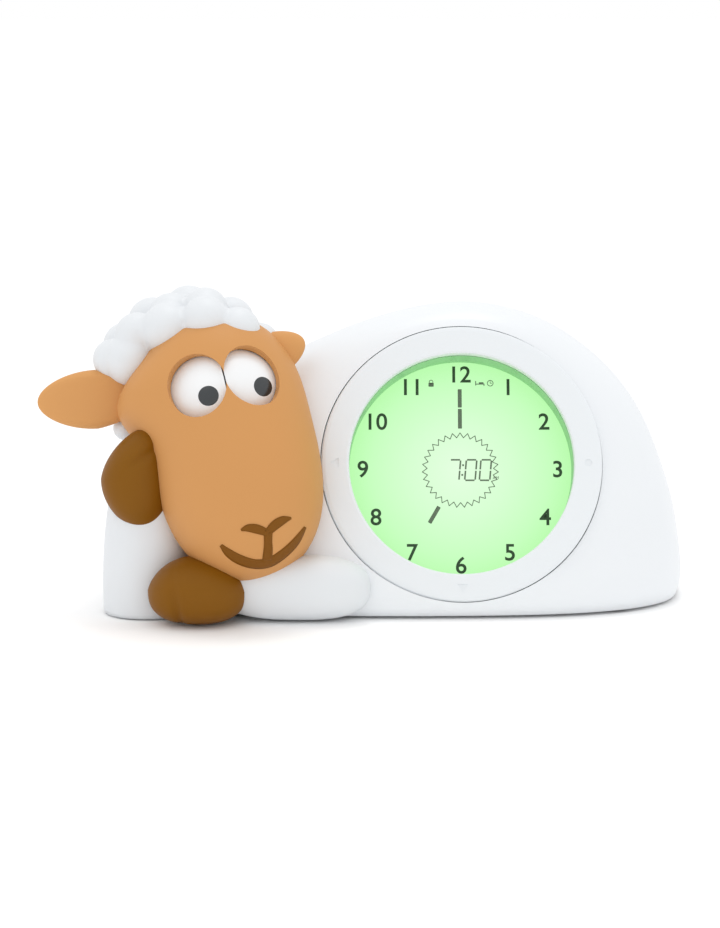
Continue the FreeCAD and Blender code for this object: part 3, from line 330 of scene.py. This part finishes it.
# %% Make the curls
# Place in millimetres from the middle of the foot print, and the radius.
CURLS = [
    (-87, -23, 95, 10.2), (-73, -25, 106.5, 10.0), (-58.5, -27, 110, 9.2), (-46.5, -26, 106.5, 8.6),
    (-84.5, -22, 104, 8.6), (-72, -18, 111, 8.6), (-59, -19, 113, 8.8), (-94, -20, 94.5, 7.8),
    (-91, -14, 86, 8.0), (-90, -20, 68, 4.6), (-39, -15, 100, 8.0), (-66, -8, 112, 9.4),
    (-80, -6, 107, 9.6), (-50, -8, 108, 9.0), (-90, -7, 98, 9.2), (-60, 4, 105, 9.6),
    (-75, 6, 100, 9.8), (-46, 2, 98, 9.0), (-88, 4, 88, 9.4), (-64, 12, 94, 9.6),
    (-78, 12, 86, 9.6), (-52, 10, 88, 9.2), (-88, -6, 78, 8.6), (-68, 14, 80, 9.0),
]
PAD_PLACE = Vector((0, 6, 19)) * MM
PAD_SIZE = [32.5 * MM, 32.5 * MM, 31.5 * MM]
SKIN_VOXEL = 0.9 * MM
balls = [ball(Vector((x, y, z)) * MM, [radius * MM] * 3, segments=32, rings=16)
         for x, y, z, radius in CURLS]
pad = ball(PAD_PLACE, PAD_SIZE)
settle(pad, head_frame)
wool = join(balls + [pad], "curls")
melt(wool, SKIN_VOXEL, 3)
stand_for(wool, "curls", "wool", "wool_cap")

# %% [markdown]
# ## Ears
#
# Each ear is a ball stretched into a leaf. In edit mode its front half is pushed in a little so
# that the inside is dished, and the root is drawn thinner than the tip.


# %% Make the ears
def ear(name, root, tip, wide, thick, dish, replaced):
    obj = ball((0, 0, 0), (1, 1, 1))
    run = Vector(tip) - Vector(root)
    bpy.ops.object.mode_set(mode="EDIT")
    mesh = bmesh.from_edit_mesh(obj.data)
    for point in mesh.verts:
        along = point.co.x
        slim = 1.0 - 0.30 * max(0.0, along) - 0.10 * along * along
        point.co.z *= slim
        point.co.y *= 0.8 + 0.2 * slim
        if point.co.y < 0:
            inside = max(0.0, 1 - point.co.x ** 2 - (point.co.z / 0.8) ** 2)
            point.co.y += dish * inside
    bmesh.update_edit_mesh(obj.data)
    bpy.ops.object.mode_set(mode="OBJECT")
    obj.scale = (run.length / 2 * MM, thick * MM, wide * MM)
    middle = (Vector(root) + Vector(tip)) / 2
    across = (-run).normalized()
    face_way = Vector((0, -1, 0.1))
    up = across.cross(face_way).normalized()
    if up.z < 0:
        up = -up
    back = up.cross(across).normalized()
    turn = Matrix((across, back, up)).transposed().to_4x4()
    settle(obj, Matrix.Translation(middle * MM) @ turn)
    finish_with(obj, "SUBSURF", levels=1, render_levels=1)
    stand_for(obj, name, "ear", replaced)


EAR_DISH = 0.55
ear("ear_near", (-78, -23, 81), (-122.5, -25, 78.5), 11.2, 5.2, EAR_DISH, "ear_left")
ear("ear_far", (-50, -20, 89), (-21.5, -18, 101.5), 8.6, 5.0, EAR_DISH, "ear_right")

# %% [markdown]
# ## Hooves and legs
#
# The hoof on the floor is a broad lump, flatter below, with a soft cleft towards its left. The hoof
# at the cheek is a pod with a fold near its top. Both are balls pushed into shape in edit mode. The
# raised leg swells out of the casing's corner, and the lying arm is rounded at its end. Sizes and
# places are in millimetres.


# %% Shape the hoof on the floor
def shaped(obj, rule):
    bpy.ops.object.mode_set(mode="EDIT")
    mesh = bmesh.from_edit_mesh(obj.data)
    for point in mesh.verts:
        point.co = rule(point.co.copy())
    if mesh.calc_volume(signed=True) < 0:
        bmesh.ops.reverse_faces(mesh, faces=mesh.faces)
    bmesh.update_edit_mesh(obj.data)
    bpy.ops.object.mode_set(mode="OBJECT")
    return obj


def bulge(value, sharp):
    return math.copysign(abs(value) ** sharp, value)


def floor_hoof_rule(point):
    x = bulge(point.x, 0.86)
    z = bulge(point.z, 0.74) if point.z < 0 else point.z
    lean = 1.0 - 0.16 * max(0.0, z)
    cleft = math.exp(-((x + 0.42 + 0.12 * z) / 0.085) ** 2) * max(0.0, 0.55 - 0.55 * z)
    y = point.y * (1.0 - 0.16 * cleft) if point.y < 0 else point.y
    return Vector((x * lean, y, z * (1.0 - 0.02 * cleft)))


PAW_HALF = (18.4, 14.5, 12.6)
PAW_PLACE = Vector((-60.8, -54.5, 12.9))
paw = ball((0, 0, 0), (1, 1, 1), segments=96, rings=48)
shaped(paw, floor_hoof_rule)
paw.scale = [half * MM for half in PAW_HALF]
settle(paw, Matrix.Translation(PAW_PLACE * MM))
stand_for(paw, "hoof_below", "hoof", "floor_hoof")


# %% Shape the hoof at the cheek
def cheek_hoof_rule(point):
    z = point.z
    belly = 1.0 + 0.12 * z * z
    x = point.x * (1.0 - 0.22 * max(0.0, z))
    fold = math.exp(-((z - 0.42 - 0.5 * x) / 0.10) ** 2) * max(0.0, 0.4 + x)
    y = point.y * (1.0 - 0.2 * fold) if point.y < 0 else point.y
    shift = 0.30 * z * z if z > 0 else 0.22 * z * z
    return Vector((x + shift, y * belly, z))


CHEEK_HALF = (13.2, 12.5, 19.2)
CHEEK_PLACE = Vector((-84.0, -41.5, 52.4))
cheek = ball((0, 0, 0), (1, 1, 1), segments=96, rings=48)
shaped(cheek, cheek_hoof_rule)
cheek.scale = [half * MM for half in CHEEK_HALF]
settle(cheek, Matrix.Translation(CHEEK_PLACE * MM))
stand_for(cheek, "hoof_above", "hoof", "cheek_hoof")


# %% Shape the raised leg and the lying arm
LEG_HALF = (17.5, 17.0, 60)
LEG_PLACE = Vector((-80.3, -33.5, 10.2))
LEG_CUT = -0.16


def leg_rule(point):
    return Vector((bulge(point.x, 0.92), bulge(point.y, 0.92), max(point.z, LEG_CUT)))


leg = ball((0, 0, 0), (1, 1, 1), segments=64, rings=48)
shaped(leg, leg_rule)
leg.scale = [half * MM for half in LEG_HALF]
settle(leg, Matrix.Translation(LEG_PLACE * MM))
stand_for(leg, "leg_above", "wool", "raised_foreleg")


def arm_rule(point):
    z = bulge(point.z, 0.80)
    return Vector((bulge(point.x, 0.72), bulge(point.y, 0.9), z * (1.0 + 0.06 * point.x)))


ARM_HALF = (29.0, 11.0, 12.0)
ARM_PLACE = Vector((-25.5, -49.3, 12.6))
arm = ball((0, 0, 0), (1, 1, 1), segments=96, rings=48)
shaped(arm, arm_rule)
arm.scale = [half * MM for half in ARM_HALF]
settle(arm, Matrix.Translation(ARM_PLACE * MM))
stand_for(arm, "arm_below", "wool", "foreleg")

# %% [markdown]
# ## Face
#
# The face is an egg that swells at the temple, where the ear is rooted. It starts as a ball whose
# rings are pushed out to the egg's outline in edit mode. A barrel and two short rods are then cut
# out of it with boolean modifiers: they leave the room and the round windows for the eyes.

# %% Shape the egg and cut the eye windows
HEAD_HALF = 52.5
FACE_DEEP = 30.3
FACE_RIGHT = 32.8
FACE_LEFT = 30.8
TEMPLE_SWELL = 8.4
TEMPLE_HEIGHT = 24
TEMPLE_SPREAD = 13
WIDEST_SHARE = 0.55
ABOVE_SHARE = 0.45
EYE_PLACE = Vector((0, -7, 17.5))
BARREL_HALF = 20.5
BARREL_ARC = 28.65
BARREL_DROP = 7
WINDOW_HALF = (10.9, 12.4, 1)
WINDOW_DEPTH = 40
WINDOW_AHEAD = 26
WINDOW_SPLAY = math.radians(21)
SKULL_SCALE = 0.97


def egg_share(up):
    if up < WIDEST_SHARE:
        away = (WIDEST_SHARE - up) / WIDEST_SHARE
    else:
        away = (up - WIDEST_SHARE) / ABOVE_SHARE
    return math.sqrt(max(0.0, 1 - away ** 3))


def face_rule(point):
    around = math.hypot(point.x, point.y)
    height = point.z * HEAD_HALF
    if around < 1e-6:
        return Vector((0, 0, height))
    share = egg_share((point.z + 1) / 2) / around
    temple = math.exp(-((height - TEMPLE_HEIGHT) / TEMPLE_SPREAD) ** 2)
    wide = FACE_RIGHT if point.x > 0 else FACE_LEFT + TEMPLE_SWELL * temple
    return Vector((point.x * share * wide, point.y * share * FACE_DEEP, height))


def barrel_rule(point):
    around = math.hypot(point.x, point.y)
    along = point.z * BARREL_HALF
    if around < 1e-6:
        return Vector((along, 0, 0))
    reach = (math.sqrt(BARREL_ARC ** 2 - along ** 2) - BARREL_DROP) / around
    return Vector((along, point.x * reach, point.y * reach))


def cut_away(obj, tool):
    finish_with(obj, "BOOLEAN", operation="DIFFERENCE", solver="EXACT", object=tool)
    bpy.data.objects.remove(tool)


face = shaped(ball((0, 0, 0), (1, 1, 1), segments=128, rings=96), face_rule)
room = shaped(ball((0, 0, 0), (1, 1, 1), segments=96, rings=64), barrel_rule)
cut_away(face, settle(room, Matrix.Translation(EYE_PLACE)))
for side in (-1, 1):
    deselect()
    bpy.ops.mesh.primitive_cylinder_add(vertices=96, radius=1, depth=WINDOW_DEPTH)
    rod = active()
    rod.scale = WINDOW_HALF
    aim = Matrix.Rotation(side * WINDOW_SPLAY, 4, "Z") @ Matrix.Rotation(math.pi / 2, 4, "X")
    ahead = Matrix.Translation((0, 0, WINDOW_AHEAD))
    settle(rod, Matrix.Translation((0, 0, EYE_PLACE.z)) @ aim @ ahead)
    cut_away(face, rod)
settle(face, head_frame @ Matrix.Scale(MM, 4))
stand_for(face, "face", "tan", "face_shell")
deselect()
face.select_set(True)
bpy.context.view_layer.objects.active = face
bpy.ops.object.shade_smooth_by_angle(angle=math.radians(40))

# %% Hollow the woolly cap
skull = shaped(ball((0, 0, 0), (1, 1, 1), segments=64, rings=48), face_rule)
settle(skull, head_frame @ Matrix.Scale(SKULL_SCALE * MM, 4))
cut_away(wool, skull)
print("curls, hollowed:", len(wool.data.polygons), "faces")

# %% [markdown]
# ## Nose and smile
#
# The strokes are measured in the photograph: each point has a place in pixels and a half width. The
# points are cast onto the face from the camera's place, so the strokes lie on its skin as paint
# does, a hair's breadth thick.

# %% Lay the strokes on the face
AIM = Vector((-0.0005, 0.0117, 0.0486))
CAMERA_RISE = math.radians(10)
CAMERA_AWAY = 1.0
FOCAL = 2536
PICTURE_MIDDLE = (360, 464)
PAINT_LIFT = 0.12 * MM
PAINT_DEPTH = 0.3 * MM
VIEWPOINT = AIM + CAMERA_AWAY * Vector((0, -math.cos(CAMERA_RISE), math.sin(CAMERA_RISE)))
# Pixels across, pixels down and half width of each point.
STROKES = [
    [(221, 545, 1.5), (229, 553, 4.0), (241, 560, 4.8), (256, 564, 4.6), (270, 562, 4.6),
     (284, 553, 4.4), (296, 541, 3.6), (305, 527, 1.2)],
    [(268, 531, 4.4), (268, 540, 4.0), (268, 549, 4.4), (267, 560, 4.8)],
    [(241, 530, 1.0), (248, 528, 3.6), (257, 529, 4.6), (268, 533, 3.4)],
    [(267, 533, 3.4), (275, 525, 4.6), (283, 520, 4.0), (291, 518, 1.0)],
]


def on_face(across, down):
    ahead = Vector((0, math.cos(CAMERA_RISE), -math.sin(CAMERA_RISE)))
    upward = Vector((0, math.sin(CAMERA_RISE), math.cos(CAMERA_RISE)))
    right = across - PICTURE_MIDDLE[0]
    up = PICTURE_MIDDLE[1] - down
    way = ahead + Vector((1, 0, 0)) * right / FOCAL + upward * up / FOCAL
    _, place, normal, _ = face.ray_cast(VIEWPOINT, way.normalized())
    return place + PAINT_LIFT * normal


def curve_points(points, count):
    result = []
    for step in range(count + 1):
        spot = step / count * (len(points) - 1)
        low = min(int(spot), len(points) - 2)
        t = spot - low
        before = points[max(low - 1, 0)]
        start = points[low]
        end = points[low + 1]
        after = points[min(low + 2, len(points) - 1)]
        result.append([0.5 * (2 * b + (c - a) * t + (2 * a - 5 * b + 4 * c - d) * t * t
                              + (3 * b - a - 3 * c + d) * t ** 3)
                       for a, b, c, d in zip(before, start, end, after)])
    return result


def stroke(points):
    line = curve_points(points, 28)
    mesh = bmesh.new()
    rows = []
    for number, (across, down, half) in enumerate(line):
        ahead = line[min(number + 1, len(line) - 1)]
        behind = line[max(number - 1, 0)]
        way = Vector((ahead[0] - behind[0], ahead[1] - behind[1])).normalized()
        row = [mesh.verts.new(on_face(across - way.y * half * t, down + way.x * half * t))
               for t in (-1, -0.5, 0, 0.5, 1)]
        rows.append(row)
    for one, other in zip(rows, rows[1:]):
        for a, b, c, d in zip(one, one[1:], other[1:], other):
            mesh.faces.new((a, b, c, d))
    data = bpy.data.meshes.new("stroke")
    mesh.to_mesh(data)
    mesh.free()
    obj = bpy.data.objects.new("stroke", data)
    bpy.context.collection.objects.link(obj)
    return obj


LOOKS["mouth"] = plastic("mouth_paint", (123, 76, 14), 0.5, shine=0.15)
smile = join([stroke(points) for points in STROKES], "smile")
finish_with(smile, "SOLIDIFY", thickness=PAINT_DEPTH, offset=0.0)
give(smile, LOOKS["mouth"])
smooth(smile)
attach(smile, "casing")
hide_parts("nose_and_mouth")
print("smile:", len(smile.data.polygons), "faces")

# %% [markdown]
# ## Numerals
#
# Twelve numerals stand in a circle. Each is a text turned into a mesh, thickened a little so that
# it has real height, and set upright at its hour.

# %% Add the numerals
INK = plastic("dial_ink", (34, 66, 34), 0.6)
GREY_INK = plastic("dial_grey", (92, 110, 88), 0.6)
NUMERAL_RADIUS = 37.3 * MM
NUMERAL_SIZE = 9.0 * MM
PRINT_DEPTH = 0.06 * MM
LETTER_SWELL = 0.12 * MM
numerals = []
for hour in range(1, 13):
    deselect()
    bpy.ops.object.text_add()
    text = active()
    text.data.body = str(hour)
    text.data.align_x = "CENTER"
    text.data.align_y = "CENTER"
    text.data.size = NUMERAL_SIZE
    text.data.extrude = PRINT_DEPTH
    text.data.offset = LETTER_SWELL
    bpy.ops.object.convert(target="MESH")
    digit = active()
    angle = math.radians(90 - 30 * hour)
    digit.location = (NUMERAL_RADIUS * math.cos(angle), NUMERAL_RADIUS * math.sin(angle), 0)
    numerals.append(digit)
hours = join(numerals, "numerals")
settle(hours, dial_frame)
give(hours, INK)
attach(hours, "casing")
print("numerals:", len(hours.data.vertices), "points")

# %% [markdown]
# ## Hands, sun ring and digits
#
# The liquid crystal shows a minute hand of two bars, one hour bar, a thin sun-shaped ring and a
# digital time. All of them are thin raised plates made from planes and boxes.


# %% Draw bars on the dial
def bar(length, width, x, y, turn):
    deselect()
    bpy.ops.mesh.primitive_cube_add(size=1)
    box = active()
    box.scale = (width, length, 2 * PRINT_DEPTH)
    box.rotation_euler = (0, 0, turn)
    box.location = (x, y, 0)
    bpy.ops.object.transform_apply(location=True, rotation=True, scale=True)
    deselect()
    box.select_set(True)
    bpy.ops.object.mode_set(mode="EDIT")
    bpy.ops.mesh.select_all(action="SELECT")
    bpy.ops.mesh.bevel(offset=width * 0.12, segments=2, affect="EDGES")
    bpy.ops.object.mode_set(mode="OBJECT")
    return box


def radial_bar(hour, low, high, width):
    angle = math.radians(90 - 30 * hour)
    middle = (low + high) / 2
    x = middle * math.cos(angle)
    y = middle * math.sin(angle)
    return bar(high - low, width, x, y, angle - math.pi / 2)


HAND_WIDE = 1.5 * MM
bars = [
    radial_bar(12, 24.6 * MM, 31.8 * MM, HAND_WIDE),
    radial_bar(12, 16.3 * MM, 24.0 * MM, HAND_WIDE),
    radial_bar(7, 16.5 * MM, 23.8 * MM, HAND_WIDE),
]
SUN_TEETH = 31
SUN_IN = 12.7 * MM
SUN_OUT = 14.6 * MM
SUN_LINE = 0.32 * MM
SUN_LAP = 0.15 * MM
corners = []
for tooth in range(SUN_TEETH):
    for share, reach in ((0.0, SUN_OUT), (0.5, SUN_IN)):
        angle = math.pi / 2 + 2 * math.pi * (tooth + share) / SUN_TEETH
        corners.append(Vector((reach * math.cos(angle), reach * math.sin(angle), 0)))
for number, corner in enumerate(corners):
    after = corners[(number + 1) % len(corners)]
    middle = (corner + after) / 2
    way = after - corner
    turn = math.atan2(way.y, way.x) - math.pi / 2
    bars.append(bar(way.length + SUN_LAP, SUN_LINE, middle.x, middle.y, turn))

# %% Add the digital time
SEGMENTS = {"7": "abc", "0": "abcdef"}
DIGIT_TALL = 8.0 * MM
DIGIT_WIDE = 4.0 * MM
STROKE = 0.62 * MM
SEGMENT_GAP = 0.5 * MM
DOT = 0.7 * MM
SLANT = 0.09


def segment(name, x):
    half = DIGIT_TALL / 4
    wide = DIGIT_WIDE / 2
    level = {"a": 2, "d": -2}.get(name)
    if level is not None:
        y = level * half
        return bar(DIGIT_WIDE - SEGMENT_GAP, STROKE, x + SLANT * y, y, math.pi / 2)
    side = wide if name in "bc" else -wide
    y = half if name in "bf" else -half
    return bar(DIGIT_TALL / 2 - SEGMENT_GAP, STROKE, x + side + SLANT * y, y, -SLANT)


for digit, x in (("7", -2.2 * MM), ("0", 4.0 * MM), ("0", 9.6 * MM)):
    for name in SEGMENTS[digit]:
        bars.append(segment(name, x))
for y in (-1.9 * MM, 1.9 * MM):
    bars.append(bar(DOT, DOT, 0.9 * MM + SLANT * y, y, 0))

# %% [markdown]
# ## Small signs
#
# Three tiny signs stand beside the twelve: a padlock, a bed and a timer. A ring made by insetting a
# disc serves for the padlock's shackle and the timer's rim.

# %% Add the padlock, the bed and the timer
def small_ring(radius, width, x, y):
    deselect()
    bpy.ops.mesh.primitive_circle_add(vertices=24, radius=radius, fill_type="NGON")
    ring = active()
    ring.location = (x, y, -PRINT_DEPTH)
    deselect()
    ring.select_set(True)
    bpy.ops.object.transform_apply(location=True, rotation=True, scale=True)
    bpy.ops.object.mode_set(mode="EDIT")
    bpy.ops.mesh.select_all(action="SELECT")
    bpy.ops.mesh.inset(thickness=width)
    bpy.ops.mesh.delete(type="FACE")
    bpy.ops.mesh.select_all(action="SELECT")
    bpy.ops.mesh.extrude_region_move(TRANSFORM_OT_translate={"value": (0, 0, 2 * PRINT_DEPTH)})
    bpy.ops.mesh.select_all(action="SELECT")
    bpy.ops.mesh.normals_make_consistent(inside=False)
    bpy.ops.object.mode_set(mode="OBJECT")
    return ring


SIGN_HEIGHT = 34.2 * MM
THIN = 0.35 * MM
lock_x = -11.0 * MM
bars.append(bar(1.5 * MM, 2.0 * MM, lock_x, SIGN_HEIGHT - 0.6 * MM, 0))
bars.append(small_ring(0.85 * MM, 0.25 * MM, lock_x, SIGN_HEIGHT + 0.5 * MM))
bed_x = 7.8 * MM
bars.append(bar(1.8 * MM, THIN, bed_x - 1.6 * MM, SIGN_HEIGHT, 0))
bars.append(bar(3.4 * MM, THIN, bed_x, SIGN_HEIGHT - 0.35 * MM, math.pi / 2))
bars.append(bar(1.8 * MM, 0.6 * MM, bed_x + 0.5 * MM, SIGN_HEIGHT + 0.1 * MM, math.pi / 2))
bars.append(bar(0.9 * MM, THIN, bed_x + 1.6 * MM, SIGN_HEIGHT - 0.6 * MM, 0))
timer_x = 11.8 * MM
bars.append(small_ring(1.25 * MM, 0.28 * MM, timer_x, SIGN_HEIGHT))
bars.append(bar(0.8 * MM, 0.22 * MM, timer_x, SIGN_HEIGHT + 0.35 * MM, 0))
bars.append(bar(0.7 * MM, 0.22 * MM, timer_x + 0.3 * MM, SIGN_HEIGHT, math.pi / 2))

# %% Add the small half-day mark
deselect()
bpy.ops.object.text_add()
half_day = active()
half_day.data.body = "AM"
half_day.data.size = 1.7 * MM
half_day.data.extrude = PRINT_DEPTH
bpy.ops.object.convert(target="MESH")
half_day = active()
half_day.location = (12.3 * MM, -3.6 * MM, 0)
bars.append(half_day)
marks = join(bars, "dial_marks")
settle(marks, dial_frame)
give(marks, GREY_INK)
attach(marks, "casing")
print("dial marks:", len(marks.data.polygons), "faces")

# %% [markdown]
# ## Studio
#
# The clock stands on a white floor in an even white room. The floor keeps the soft contact shadow.

# %% Floor, light and camera
FLOOR_SIZE = 400
ROOM_STRENGTH = 1.02
SEEN_STRENGTH = 1.0
WHITE = (1, 1, 1, 1)
SENSOR_WIDTH = 36
LENS = 98.4
deselect()
bpy.ops.mesh.primitive_plane_add(size=FLOOR_SIZE)
floor = active()
floor.name = "studio_floor"
floor_look = plastic("floor_white", (255, 255, 255), 0.9, shine=0.0)
give(floor, floor_look)

world = bpy.data.worlds.new("white_room")
bpy.context.scene.world = world
world.use_nodes = True
world_tree = world.node_tree
background = world_tree.nodes["Background"]
background.inputs["Color"].default_value = WHITE
background.inputs["Strength"].default_value = ROOM_STRENGTH
seen = world_tree.nodes.new("ShaderNodeBackground")
seen.inputs["Color"].default_value = WHITE
seen.inputs["Strength"].default_value = SEEN_STRENGTH
path = world_tree.nodes.new("ShaderNodeLightPath")
mix = world_tree.nodes.new("ShaderNodeMixShader")
world_tree.links.new(path.outputs["Is Camera Ray"], mix.inputs["Fac"])
world_tree.links.new(background.outputs["Background"], mix.inputs[1])
world_tree.links.new(seen.outputs["Background"], mix.inputs[2])
world_tree.links.new(mix.outputs["Shader"], world_tree.nodes["World Output"].inputs["Surface"])

LAMP_AIM = Vector((0, 0, 0.05))


def lamp(name, place, size, power):
    deselect()
    bpy.ops.object.light_add(type="AREA", location=place)
    light = active()
    light.name = name
    light.data.shape = "SQUARE"
    light.data.size = size
    light.data.energy = power
    light.rotation_euler = (LAMP_AIM - Vector(place)).to_track_quat("-Z", "Y").to_euler()
    return light


lamp("key_light", (-0.7, -1.0, 1.3), 1.0, 1.0)
lamp("top_light", (0.1, 0.35, 1.6), 0.5, 4.0)

deselect()
bpy.ops.object.camera_add()
camera = active()
camera.location = VIEWPOINT
camera.rotation_euler = (AIM - camera.location).to_track_quat("-Z", "Y").to_euler()
camera.data.sensor_width = SENSOR_WIDTH
camera.data.lens = LENS
bpy.context.scene.camera = camera
bpy.context.scene.view_settings.view_transform = "Standard"
